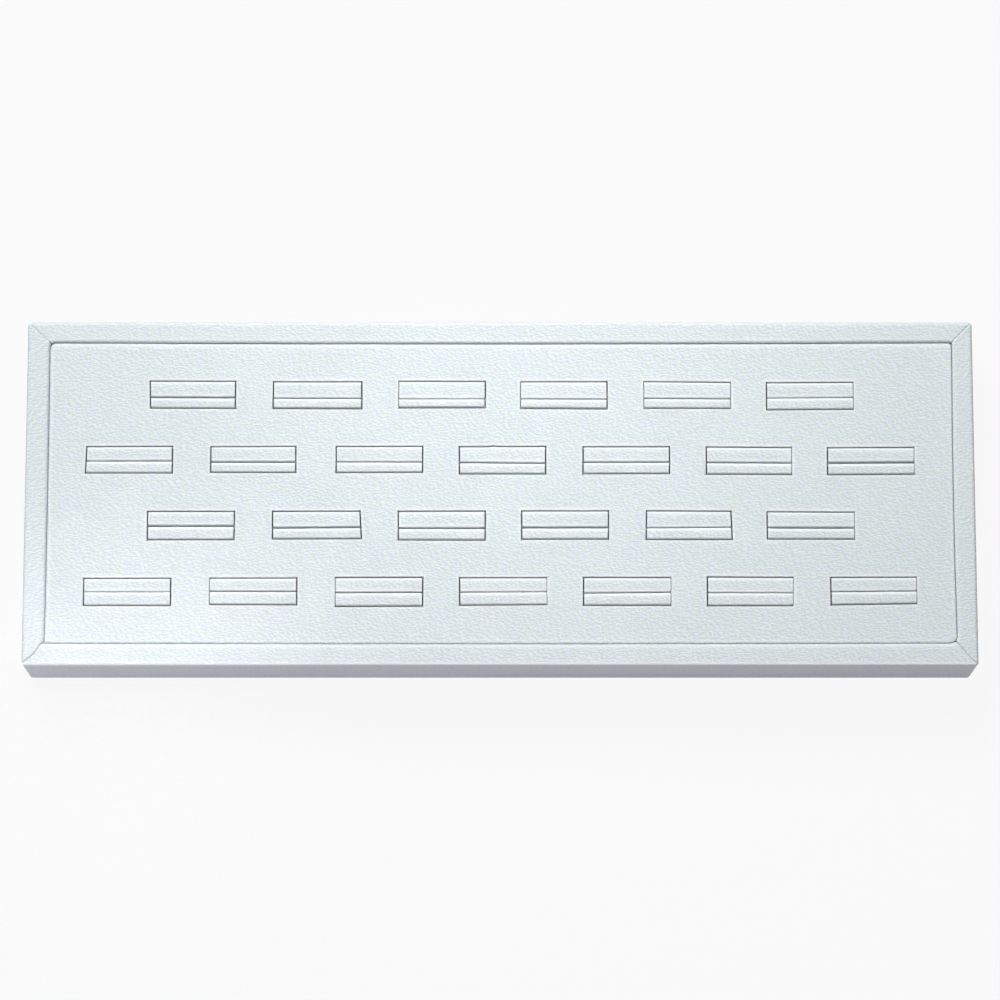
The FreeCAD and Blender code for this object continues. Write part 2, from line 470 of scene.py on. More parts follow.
@dataclass(frozen=True)
class Studio:
    """Pale floor, white surroundings and the level of the light that comes from all round.

    The floor can be looked through from below. Light that leaves a surface within the reach above
    it meets an even glow, so the underside of what stands on it can be seen.
    """

    floor_size: float = 6.0
    floor_drop: float = 0.05 * MM
    under_light: float = 0.6
    under_reach: float = 3.0 * MM
    floor_colour: Colour = (0.56, 0.52, 0.59)
    floor_white: float = 0.91
    ambient: float = 0.24
    ambient_colour: Colour = (1.0, 0.96, 1.04)

    def floor_material(self) -> bpy.types.Material:
        """Diffuse, with white added for rays from the camera and off glossy surfaces.

        Returns:
            The material, clear from below and lit where a scattered ray is shorter than the reach.
        """
        material, tree = new_material("floor_white")
        diffuse = tree.value("BsdfDiffuse", None, {"Color": (*self.floor_colour, 1.0)})
        shader = tree.mixed(tree.seen() * self.floor_white, diffuse, tree.glow("Emission", 1.0))
        away = tree.ray("Ray Length").spread(self.under_reach / 2, self.under_reach)
        near = (1 - away) * tree.ray("Is Diffuse Ray")
        shader = tree.mixed(near, shader, tree.glow("Emission", self.under_light))
        from_below = tree.value("NewGeometry", None, None, "Backfacing")
        shader = tree.mixed(from_below, shader, tree.value("BsdfTransparent"))
        tree.node("OutputMaterial", None, {"Surface": shader})
        return material

    def build(self) -> None:
        """Lays the floor and sets the world."""
        mesh = bpy.data.meshes.new("studio_floor")
        half = self.floor_size / 2
        corners = ((-half, -half), (half, -half), (half, half), (-half, half))
        mesh.from_pydata([(x, y, -self.floor_drop) for x, y in corners], [], [(0, 1, 2, 3)])
        mesh.materials.append(self.floor_material())
        new_object("studio_floor", mesh)

        world = bpy.data.worlds.new("studio")
        bpy.context.scene.world = world
        world.use_nodes = True
        tree = Tree(world.node_tree)
        around = tree.glow("Background", self.ambient, self.ambient_colour)
        surface = tree.mixed(tree.seen(), around, tree.glow("Background", 1.0))
        tree.node("OutputWorld", None, {"Surface": surface})


@dataclass(frozen=True)
class Lamp:
    """A square soft lamp, given by what it adds to a level white surface where it points.

    A beam narrower than a half circle fades evenly from its middle to its edge.
    """

    name: str
    place: Triple
    aim: Triple
    size: float
    share: float
    beam: float = math.pi
    colour: Colour = (1.0, 1.0, 1.0)

    def build(self) -> None:
        """Sets the lamp, and its power from its share.

        Power is the share, times pi squared, times distance squared, over the height's cosine. A
        narrow beam is brighter in the middle by the tangent of its half angle over what the tangent
        exceeds the angle by, so its power is lower by that.
        """
        lamp = bpy.data.lights.new(self.name, "AREA")
        lamp.shape = "SQUARE"
        lamp.size = self.size
        lamp.color = self.colour
        reach = np.subtract(self.place, self.aim)
        distance = float(np.linalg.norm(reach))
        lamp.energy = self.share * math.pi ** 2 * distance ** 3 / reach[2]
        if self.beam < math.pi:
            lamp.spread = self.beam
            lamp.energy *= 1 - self.beam / 2 / math.tan(self.beam / 2)
        thing = new_object(self.name, lamp)
        thing.location = self.place
        thing.rotation_euler = (math.acos(reach[2] / distance), 0, math.atan2(reach[0], -reach[1]))


@dataclass(frozen=True)
class PhotoView:
    """Where the photograph was taken from: its pixels are counted in a frame of 1000 by 1000."""

    frame_pixels: float = 1000.0
    face_pixels: float = 951.0
    face_middle_y: float = 492.3
    lean: float = math.radians(10.9)
    distance: float = 1.3
    sensor: float = 36.0
    nearest: float = 0.05
    farthest: float = 20.0

    def build(self, layout: "Layout") -> None:
        """Sets the camera.

        Args:
            layout: Gives the top face that the view is centred on.
        """
        metres_per_pixel = layout.length / self.face_pixels
        view_width = self.frame_pixels * metres_per_pixel
        pixels_low = self.frame_pixels / 2 - self.face_middle_y
        lowered = pixels_low * metres_per_pixel / math.cos(self.lean)
        camera = bpy.data.cameras.new("photo_camera")
        camera.sensor_width = self.sensor
        camera.lens = self.sensor * self.distance / view_width
        camera.clip_start = self.nearest
        camera.clip_end = self.farthest
        thing = new_object("photo_camera", camera)
        thing.location = (0, -lowered - self.distance * math.sin(self.lean),
                          layout.height + self.distance * math.cos(self.lean))
        thing.rotation_euler = (self.lean, 0, 0)
        bpy.context.scene.camera = thing


def smooth_step(x: np.ndarray) -> np.ndarray:
    """0 below 0, 1 above 1, and 3x2 - 2x3 between."""
    t = np.clip(x, 0, 1)
    return t * t * (3 - 2 * t)


def hump(x: np.ndarray, width: float) -> np.ndarray:
    """A bell of the given width round 0: e to the power of minus x over the width, squared."""
    return np.exp(-np.square(x / width))


def roll_drop(distance: np.ndarray, radius: float) -> np.ndarray:
    """How far a rounded edge has dropped at a distance from its end: the radius less the height of
    a quarter circle there."""
    inward = np.clip(radius - distance, 0, radius)
    return radius - np.sqrt(radius ** 2 - inward ** 2)


def wander(along: np.ndarray, seed: int, reach: float, length: float) -> np.ndarray:
    """A smooth random line: sines of seeded phase, each shorter and weaker than the last.

    Args:
        along: Where it is worked out.
        seed: Seed of the phases.
        reach: Its largest value.
        length: Its longest period.

    Returns:
        The line's value at each place.
    """
    rng = np.random.default_rng(seed)
    shrink = np.array([1.0, 1.9, 3.3, 5.9])
    weights = rng.uniform(0.5, 1.0, shrink.size) / np.sqrt(shrink)
    phases = rng.uniform(0, 2 * math.pi, shrink.size)
    waves = np.sin(along[..., None] * shrink * (2 * math.pi / length) + phases) * weights
    return reach * waves.sum(axis=-1) / weights.sum()


@dataclass
class Shell:
    """A closed surface of four-sided faces, with what its finish reads at each point."""

    points: np.ndarray
    faces: np.ndarray
    sheet: np.ndarray
    # Stretch and painted highlight above 0, painted shade along outer edges below 0.
    stretch: np.ndarray
    back: np.ndarray

    @classmethod
    def between(cls, outer: np.ndarray, inner: np.ndarray, sheet: np.ndarray | None = None,
                stretch: np.ndarray | None = None, kept: np.ndarray | None = None,
                lining: np.ndarray | float = 1.0) -> "Shell":
        """The wall between two grids of the same size.

        Each kept cell gives a face on both grids, and each edge between a kept and a dropped cell
        gives a face across the wall.

        Args:
            outer: Outside points, rows by columns by 3, with rows times columns facing out.
            inner: Inside points of the same size.
            sheet: The sheet's own coordinates, rows by columns by 2.
            stretch: The sheet's stretch with its painted highlight, from 0 to 1, and its painted
                edge shade, below 0.
            kept: True for each cell that is there; all are there by default.
            lining: How much of the sheet's back shows at each inside point, from 0 to 1; its colour
                carries painted shade in the gaps.

        Returns:
            The closed shell.
        """
        rows, columns = outer.shape[:2]
        count = rows * columns
        number = np.arange(count).reshape(rows, columns)
        if kept is None:
            kept = np.ones((rows - 1, columns - 1), bool)
        corner = (number[:-1, :-1], number[1:, :-1], number[1:, 1:], number[:-1, 1:])
        cells = np.stack([c[kept] for c in corner], axis=1)
        faces = [cells, cells[:, ::-1] + count]
        framed = np.pad(kept, 1)
        row_change = framed[1:-1, 1:].astype(int) - framed[1:-1, :-1]
        column_change = framed[:-1, 1:-1].astype(int) - framed[1:, 1:-1]
        for change, start, end in ((row_change, number[:-1, :], number[1:, :]),
                                   (column_change, number[:, :-1], number[:, 1:])):
            for step, first, last in ((1, end, start), (-1, start, end)):
                a, b = first[change == step], last[change == step]
                faces.append(np.stack([a, b, b + count, a + count], axis=1))
        faces = np.concatenate(faces)
        used, faces = np.unique(faces, return_inverse=True)
        plane = outer[..., :2] if sheet is None else sheet
        stretch_and_painted_light = np.zeros((rows, columns)) if stretch is None else stretch
        backs = np.concatenate([np.zeros(count), np.broadcast_to(lining, (rows, columns)).ravel()])
        return cls(points=np.concatenate([outer.reshape(-1, 3), inner.reshape(-1, 3)])[used],
                   faces=faces.reshape(-1, 4),
                   sheet=np.concatenate([plane.reshape(-1, 2)] * 2)[used],
                   stretch=np.concatenate([stretch_and_painted_light.ravel(), np.zeros(count)])[used],
                   back=backs[used])

    @classmethod
    def upright(cls, x: np.ndarray, y: np.ndarray, top: np.ndarray | float,
                foot: np.ndarray | float, **rest: np.ndarray) -> "Shell":
        """The block between a top and a foot over the same plan.

        Args:
            x: Places along the insert.
            y: Places across it.
            top: Level of the top.
            foot: Level of the foot.
            rest: What else the wall is given.

        Returns:
            The closed shell.
        """
        grids = [np.stack(np.broadcast_arrays(x, y, level), axis=-1) for level in (top, foot)]
        return cls.between(*grids, **rest)

    @classmethod
    def joined(cls, shells: list["Shell"]) -> "Shell":
        """Several shells as one."""
        starts = np.cumsum([0] + [len(shell.points) for shell in shells[:-1]])
        faces = np.concatenate([shell.faces + start for shell, start in zip(shells, starts)])
        rest = {name: np.concatenate([getattr(shell, name) for shell in shells])
                for name in ("points", "sheet", "stretch", "back")}
        return cls(faces=faces, **rest)

    def piece(self, name: str, material: bpy.types.Material, slot: Slot,
              replaced: list[str]) -> bpy.types.Object:
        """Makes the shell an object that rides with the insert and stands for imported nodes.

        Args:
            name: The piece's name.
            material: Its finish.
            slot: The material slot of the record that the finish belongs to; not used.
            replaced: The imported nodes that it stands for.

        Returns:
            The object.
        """
        mesh = bpy.data.meshes.new(name)
        mesh.vertices.add(len(self.points))
        mesh.vertices.foreach_set("co", self.points.astype(np.float32).ravel())
        mesh.loops.add(self.faces.size)
        mesh.loops.foreach_set("vertex_index", self.faces.astype(np.int32).ravel())
        mesh.polygons.add(len(self.faces))
        mesh.polygons.foreach_set("loop_start", np.arange(0, self.faces.size, 4, dtype=np.int32))
        mesh.update(calc_edges=True)
        mesh.validate()
        flat = np.column_stack([self.sheet, np.zeros(len(self.sheet))])
        # The stretch attribute carries stretch with painted highlight above 0, and painted edge
        # shade below 0.
        for label, kind, key, values in (("sheet", "FLOAT_VECTOR", "vector", flat),
                                         ("stretch", "FLOAT", "value", self.stretch),
                                         ("back", "FLOAT", "value", self.back)):
            layer = mesh.attributes.new(label, kind, "POINT")
            layer.data.foreach_set(key, values.astype(np.float32).ravel())
        mesh.shade_smooth()
        mesh.set_sharp_from_angle(angle=SHARP_ANGLE)
        mesh.materials.append(material)
        thing = new_object(name, mesh)
        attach(thing, BODY)
        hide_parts(*replaced)
        log.info("%s: %d faces", name, len(self.faces))
        return thing


def rounded_path(corners: np.ndarray, radii: list[float], runs: tuple[int, ...],
                 turn_steps: int) -> Pair:
    """A line through corners, each turned in an arc.

    A straight run is divided evenly from the end of one arc to the start of the next. On an arc
    the normal turns evenly, and a point lies a radius along it from the arc's centre.

    Args:
        corners: Points of the line, which turns square at each inner one.
        radii: Radius at each inner corner.
        runs: Steps in each straight run.
        turn_steps: Steps in each arc.

    Returns:
        The points, and the normals to the left of the way along the line.
    """
    ways = np.diff(corners, axis=0)
    lengths = np.linalg.norm(ways, axis=1)
    ways = ways / lengths[:, None]
    normals = np.stack([-ways[:, 1], ways[:, 0]], axis=1)
    cut = np.array([0.0, *radii, 0.0])
    points, outward = [], []
    for n, steps in enumerate(runs):
        t = np.linspace(cut[n], lengths[n] - cut[n + 1], steps + 1)
        points.append(corners[n] + t[:, None] * ways[n])
        outward.append(np.repeat(normals[n:n + 1], steps + 1, axis=0))
        if n < len(radii) and radii[n] > 0:
            turn = np.linspace(0, QUARTER_TURN, turn_steps + 1)[1:-1, None]
            normal = normals[n] * np.cos(turn) + normals[n + 1] * np.sin(turn)
            centre = corners[n + 1] - radii[n] * (ways[n] - ways[n + 1])
            convex = math.copysign(1.0, float(np.dot(normals[n], ways[n + 1])))
            points.append(centre - convex * radii[n] * normal)
            outward.append(normal)
    return np.concatenate(points), np.concatenate(outward)


def girth_along(path: np.ndarray) -> np.ndarray:
    """How far along a line each of its points lies."""
    return np.concatenate([[0], np.cumsum(np.linalg.norm(np.diff(path, axis=0), axis=1))])


def node_points(name: str) -> np.ndarray:
    """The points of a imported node's mesh."""
    vertices = frame["nodes"][name].data.vertices
    flat = np.zeros(len(vertices) * 3, np.float32)
    vertices.foreach_get("co", flat)
    return flat.reshape(-1, 3).astype(float)


@dataclass(frozen=True)
class Layout:
    """Sizes of the insert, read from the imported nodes."""

    length: float
    depth: float
    height: float
    skin: float
    end_border: float
    long_border: float
    flap_width: float
    flap_level: float
    deck_top: float
    deck_underside: float
    deck_half_length: float
    deck_half_depth: float
    window_clearance: float

    @classmethod
    def from_frame(cls) -> "Layout":
        """Takes each size from the box of the node that has it."""
        cover_low, cover_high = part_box("front_rail_wrap")
        rail_low, rail_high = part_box("front_rail")
        end_low, end_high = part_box("left_rail")
        deck_low, deck_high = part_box("deck_skin")
        pad_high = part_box(f"{PAD_NODE}a1")[1]
        skin = rail_low.y - cover_low.y
        return cls(length=2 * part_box("right_rail_wrap")[1].x, depth=-2 * cover_low.y,
                   height=cover_high.z, skin=skin, end_border=end_high.x - end_low.x + 2 * skin,
                   long_border=rail_high.y - rail_low.y + 2 * skin,
                   flap_width=cover_high.y - cover_low.y,
                   flap_level=cover_low.z, deck_top=deck_high.z, deck_underside=deck_low.z,
                   deck_half_length=deck_high.x, deck_half_depth=deck_high.y,
                   window_clearance=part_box("deck_batten_1")[0].y - pad_high.y)


@dataclass(frozen=True)
class Overcut:
    """A knife cut that ran on past a window's corner."""

    right: bool
    back: bool
    along: Axis
    length: float


@dataclass(frozen=True)
class HandCut:
    """How one window and its pad stray from the pattern. Lengths are in metres.

    A lean is how much further right a side lies at the front than at the back. A tilt is how much
    further back a line lies at its right end than at its left one.
    """

    rightward: float = 0.0
    backward: float = 0.0
    left_lean: float = 0.0
    right_lean: float = 0.0
    front_tilt: float = 0.0
    back_tilt: float = 0.0
    slit_backward: float = 0.0
    slit_tilt: float = 0.0
    longer: float = 0.0
    wider: float = 0.0
    left_gap: float = 0.33 * MM
    right_gap: float = 0.33 * MM
    front_gap: float = 0.4 * MM
    back_gap: float = 0.28 * MM
    slit_gap: float = 0.3 * MM
    slit_opening: float = 0.0
    nick: float | None = None
    overcuts: tuple[Overcut, ...] = ()


def hand_cuts() -> dict[str, HandCut]:
    """The windows as they were cut, by name: letters run from the back row, numbers from the left.

    Returns:
        A cut for each name that differs from the plain one.
    """
    cuts: dict[str, HandCut] = {}

    def change(names: str, **millimetres: float) -> None:
        """Gives several windows the same lengths."""
        lengths = {key: length * MM for key, length in millimetres.items()}
        for name in names.split():
            cuts[name] = replace(cuts.get(name, HandCut()), **lengths)

    def run_on(name: str, *overcuts: Overcut) -> None:
        """Gives a window knife cuts past its corners."""
        cuts[name] = replace(cuts[name], overcuts=overcuts)

    change("b1 b2 b3 b4 b5 b6 b7 c1 c2 c3 c4 c5 c6", slit_gap=0.4)
    change("a1 b2 c1 c2 c4", slit_gap=0.48)
    change("b7", slit_gap=0.62)
    change("b1 b3 d2", slit_gap=0.32)
    change("a3 d1 d6", slit_gap=0.22)
    change("a6 c5 d4 d7", slit_gap=0.24)
    change("a5 a6 b6 b7 c6 d4 d5 d6 d7", right_gap=0.13)
    change("a3 a4 a5 d2 d3", left_gap=0.16)
    change("a2 a3 a4", front_gap=0.5)
    change("b2 b3", wider=-0.4)
    change("a3 a5 b1 d1 d2 d7", wider=-0.17)
    change("c1 c4 d6", wider=0.25)
    change("c3 c5 d3", wider=0.4)
    change("c2 d5", wider=0.12)
    change("a3 a6 c5", rightward=0.2)
    change("c3 d3", rightward=0.15)
    change("d7", rightward=0.3)
    change("a4 b4", rightward=-0.25)
    change("b2", rightward=-0.4)
    change("c1", rightward=-0.15)
    change("a3 b2 b3 c2 c4 d7", backward=0.18)
    change("a1 b1 c5", backward=0.1)
    change("a6 b7", backward=-0.27)
    change("b6 d1 d3", backward=-0.17)
    change("a6 c1", slit_backward=0.4)
    change("b1 d1 d2", slit_backward=0.2)
    change("a1 b7", slit_backward=0.12)
    change("a5 c5 c6", slit_backward=-0.13)
    change("a4 b2 b3 b4 c2 c3 c4 d5 d6", slit_backward=-0.2)
    change("a3", slit_backward=-0.38)
    change("a2 a4 d2", front_tilt=-0.17)
    change("a6 c2 d4 b7", front_tilt=0.17)
    change("d7", front_tilt=0.36)
    change("a5 b6 c5 c6 d6", back_tilt=-0.19)
    change("a6 b2 b7 d7", back_tilt=0.16)
    change("b4", slit_tilt=-0.3)
    change("b3", slit_tilt=-0.13)
    change("c2", slit_tilt=0.17)
    change("c5 d5", slit_tilt=0.25)
    change("a1", left_lean=0.2, longer=-0.4)
    change("a2", longer=0.7)
    change("b1", left_lean=-0.25)
    change("b2 b6 c5 d6 d7", longer=-0.5)
    change("b4", nick=-2.8)
    change("c2", right_lean=0.5, longer=0.4)
    run_on("c4", Overcut(*FRONT_RIGHT, Axis.Y, 1.1 * MM))
    change("c5", left_lean=-0.2, right_lean=0.3)
    change("c6", slit_opening=0.12)
    run_on("d3", Overcut(*BACK_LEFT, Axis.Y, 1.7 * MM))
    run_on("d5", Overcut(*FRONT_RIGHT, Axis.Y, 1.2 * MM), Overcut(*BACK_LEFT, Axis.X, 0.6 * MM))
    run_on("d7", Overcut(*BACK_RIGHT, Axis.X, 0.5 * MM))
    return cuts


@dataclass
class RingSlot:
    """One window of the deck with the pad that fills it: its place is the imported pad's."""

    name: str
    seed: int
    cut: HandCut
    centre: tuple[float, float]
    half_length: float
    half_width: float
    pad_top: float
    foot: float
    slit: float
    stray: float = 0.07 * MM
    fade: float = 4.5 * MM
    nick_reach: float = 0.28 * MM
    nick_width: float = 0.5 * MM
    nick_depth: float = 1.0 * MM
    foot_reach: float = 0.01 * MM
    overcut_start: float = 0.2 * MM
    overcut_seed: int = 500
    overcut_odds: float = 0.4
    overcut_mm: tuple[float, float] = (0.35, 0.8)

    @classmethod
    def from_node(cls, node: str, seed: int, cuts: dict[str, HandCut],
                  layout: Layout) -> "RingSlot":
        """Reads a slot from its packed pad.

        At the pad's foot its two lobes have eight faces across: the slit lies between the fourth
        and the fifth.

        Args:
            node: The pad's node.
            seed: Seed of what strays at random.
            cuts: The hand cuts by name.
            layout: Gives the clearance round the pad.

        Returns:
            The slot.
        """
        points = node_points(node)
        low, high = points.min(axis=0), points.max(axis=0)
        foot = points[points[:, 2] < low[2] + cls.foot_reach]
        across = np.unique(np.round(foot[:, 1], 5))
        name = node.removeprefix(PAD_NODE)
        cut = cuts.get(name, HandCut())
        middle = (low + high) / 2
        return cls(name=name, seed=seed, cut=cut, centre=(middle[0], middle[1]),
                   half_length=(high[0] - low[0]) / 2 + layout.window_clearance,
                   half_width=(high[1] - low[1]) / 2 + layout.window_clearance, pad_top=high[2],
                   foot=low[2], slit=(across[3] + across[4]) / 2 - middle[1] + cut.slit_backward)

    def corner_moves(self) -> np.ndarray:
        """How each corner of the window strays.

        Returns:
            Moves by end (left, right), by side (front, back), by axis.
        """
        cut = self.cut
        moves = np.random.default_rng(self.seed).uniform(-self.stray, self.stray, (2, 2, 2))
        ends = np.array([-cut.longer, cut.longer]) / 2
        leans = np.array([cut.left_lean, cut.right_lean]) / 2
        moves[:, 0, 0] += ends + leans
        moves[:, 1, 0] += ends - leans
        moves[:, 0, 1] += np.array([-cut.front_tilt, cut.front_tilt]) / 2 - cut.wider / 2
        moves[:, 1, 1] += np.array([-cut.back_tilt, cut.back_tilt]) / 2 + cut.wider / 2
        return moves + np.array([cut.rightward, cut.backward])

    def moved(self, x: np.ndarray, y: np.ndarray) -> Pair:
        """Carries points with the window's corners.

        A point inside moves by the corners' moves, mixed by its place between the sides. Outside,
        the nearest point's move fades to nothing over a few millimetres. A nick pushes the back
        side out in a small bell.

        Args:
            x: Places along the insert.
            y: Places across it.

        Returns:
            The moves along x and y.
        """
        local_x, local_y = x - self.centre[0], y - self.centre[1]
        right = np.clip(local_x / self.half_length, -1, 1) / 2 + 0.5
        back = np.clip(local_y / self.half_width, -1, 1) / 2 + 0.5
        moves = self.corner_moves()
        mixed = sum(moves[i, j][:, None] * (np.abs(1 - i - right) * np.abs(1 - j - back)).ravel()
                    for i in (0, 1) for j in (0, 1)).reshape(2, *x.shape)
        weight = 1 - smooth_step(self.outside(x, y) / self.fade)
        if self.cut.nick is not None:
            bell = hump(local_x - self.cut.nick, self.nick_width)
            bell = bell * hump(local_y - self.half_width, self.nick_depth)
            mixed[1] += self.nick_reach * bell
        return mixed[0] * weight, mixed[1] * weight

    def carried(self, x: np.ndarray, y: np.ndarray) -> Pair:
        """Where points given from the slot's centre end up on the insert."""
        x, y = x + self.centre[0], y + self.centre[1]
        move_x, move_y = self.moved(x, y)
        return x + move_x, y + move_y

    def outside(self, x: np.ndarray, y: np.ndarray) -> np.ndarray:
        """Distance from the window's true rectangle, 0 inside it."""
        over_x = np.abs(x - self.centre[0]) - self.half_length
        over_y = np.abs(y - self.centre[1]) - self.half_width
        return np.hypot(np.maximum(over_x, 0), np.maximum(over_y, 0))

    def holds(self, x: np.ndarray, y: np.ndarray) -> np.ndarray:
        """True for points inside the window's true rectangle."""
        inside = np.abs(x - self.centre[0]) < self.half_length
        return inside & (np.abs(y - self.centre[1]) < self.half_width)

    def groove_of_cuts(self, x: np.ndarray, y: np.ndarray, width: float,
                       depth: float) -> np.ndarray:
        """Depth of the knife cuts that ran past the corners: a narrow bell across each cut, which
        fades at its far end."""
        found = np.zeros_like(x)
        for cut in self.all_overcuts():
            away_x = (x - self.centre[0]) * (1 if cut.right else -1) - self.half_length
            away_y = (y - self.centre[1]) * (1 if cut.back else -1) - self.half_width
            ahead, aside = (away_x, away_y) if cut.along is Axis.X else (away_y, away_x)
            run = smooth_step(ahead / self.overcut_start + 1)
            run = run * (1 - smooth_step(ahead / cut.length))
            found = np.maximum(found, depth * run * hump(aside, width))
        return found

    def all_overcuts(self) -> list[Overcut]:
        """The chosen overcuts, and short ones at a few corners by the slot's seed."""
        rng = np.random.default_rng(self.seed + self.overcut_seed)
        found = list(self.cut.overcuts)
        for right in (False, True):
            for back in (False, True):
                along = Axis.X if rng.random() < 0.5 else Axis.Y
                length = rng.uniform(*self.overcut_mm) * MM
                if rng.random() < self.overcut_odds:
                    found.append(Overcut(right, back, along, length))
        return found


@dataclass(frozen=True)
class EdgeShares:
    """A number for each side: how strong the painted highlight, or the painted shade, is beside an
    edge there, or how far it reaches."""

    front: float
    back: float
    left: float
    right: float

    def by_side(self, nearer_x: np.ndarray, rightward: np.ndarray,
                backward: np.ndarray) -> np.ndarray:
        """The number for each point, from which side is nearest to it."""
        ends = np.where(rightward, self.right, self.left)
        sides = np.where(backward, self.back, self.front)
        return np.where(nearer_x, ends, sides)


@dataclass
class Pocket:
    """The opening that the deck lies in, as the hand-pulled covers round it left it.

    Each side strays from straight by a bow and a small waver, and each corner is rounded. The deck
    and the covers are moved by the same amounts, so they keep together.
    """

    layout: Layout
    middles: EdgeShares = EdgeShares(front=-0.06 * MM, back=0.02 * MM, left=0.25 * MM,
                                     right=-0.1 * MM)
    ends: EdgeShares = EdgeShares(front=0.16 * MM, back=-0.33 * MM, left=0.1 * MM,
                                  right=-0.42 * MM)
    corner_radii: dict[Corner, float] = field(default_factory=lambda: {
        BACK_LEFT: 1.9 * MM, BACK_RIGHT: 1.2 * MM, FRONT_LEFT: 0.5 * MM, FRONT_RIGHT: 2.3 * MM})
    waver: float = 0.04 * MM
    waver_length: float = 70 * MM
    end_seed: int = 21
    side_seed: int = 22
    sides_apart: float = 0.4
    fade: float = 3 * MM

    def moved(self, x: np.ndarray, y: np.ndarray) -> Pair:
        """Moves of points in and round the pocket.

        A side's points move inward by its middle's amount, plus the rest of its ends' amount times
        the square of how far along they are. Near a corner a point of the outline, or of a
        rectangle inset from it, slides onto an arc about the corner's centre. Both fade outward.

        Args:
            x: Places along the insert.
            y: Places across it.

        Returns:
            The moves along x and y.
        """
        half_x = self.layout.length / 2 - self.layout.end_border
        half_y = self.layout.depth / 2 - self.layout.long_border
        inset_x, inset_y = half_x - np.abs(x), half_y - np.abs(y)
        share_x, share_y = np.square(x / half_x), np.square(y / half_y)
        rightward, backward = x > 0, y > 0
        middles, ends = ([shares.by_side(np.full(x.shape, is_end), rightward, backward)
                          for is_end in (True, False)] for shares in (self.middles, self.ends))
        bow_x = middles[0] + (ends[0] - middles[0]) * share_y
        bow_y = middles[1] + (ends[1] - middles[1]) * share_x

        def wavered(bow: np.ndarray, along: np.ndarray, seed: int, inset: np.ndarray) -> np.ndarray:
            """A bow with its waver, where it is near the side."""
            waver = wander(along, seed, self.waver, self.waver_length)
            return (bow + waver) * (1 - smooth_step(np.abs(inset) / self.fade))

        bow_x = wavered(bow_x, y + self.sides_apart * rightward, self.end_seed, inset_x)
        bow_y = wavered(bow_y, x + self.sides_apart * backward, self.side_seed, inset_y)
        radius = np.zeros_like(x)
        for (right, back), size in self.corner_radii.items():
            radius = np.where((rightward == right) & (backward == back), size, radius)
        inner_x, inner_y = np.maximum(inset_x, 0), np.maximum(inset_y, 0)
        slide_in, slide_on = corner_slide(np.minimum(inner_x, inner_y), np.abs(inner_x - inner_y),
                                          radius)
        outside = np.hypot(np.minimum(inset_x, 0), np.minimum(inset_y, 0))
        near = 1 - smooth_step(outside / self.fade)
        nearer_x = inner_x < inner_y
        bow_x = bow_x + np.where(nearer_x, slide_in, slide_on) * near
        bow_y = bow_y + np.where(nearer_x, slide_on, slide_in) * near
        return -np.sign(x) * bow_x, -np.sign(y) * bow_y


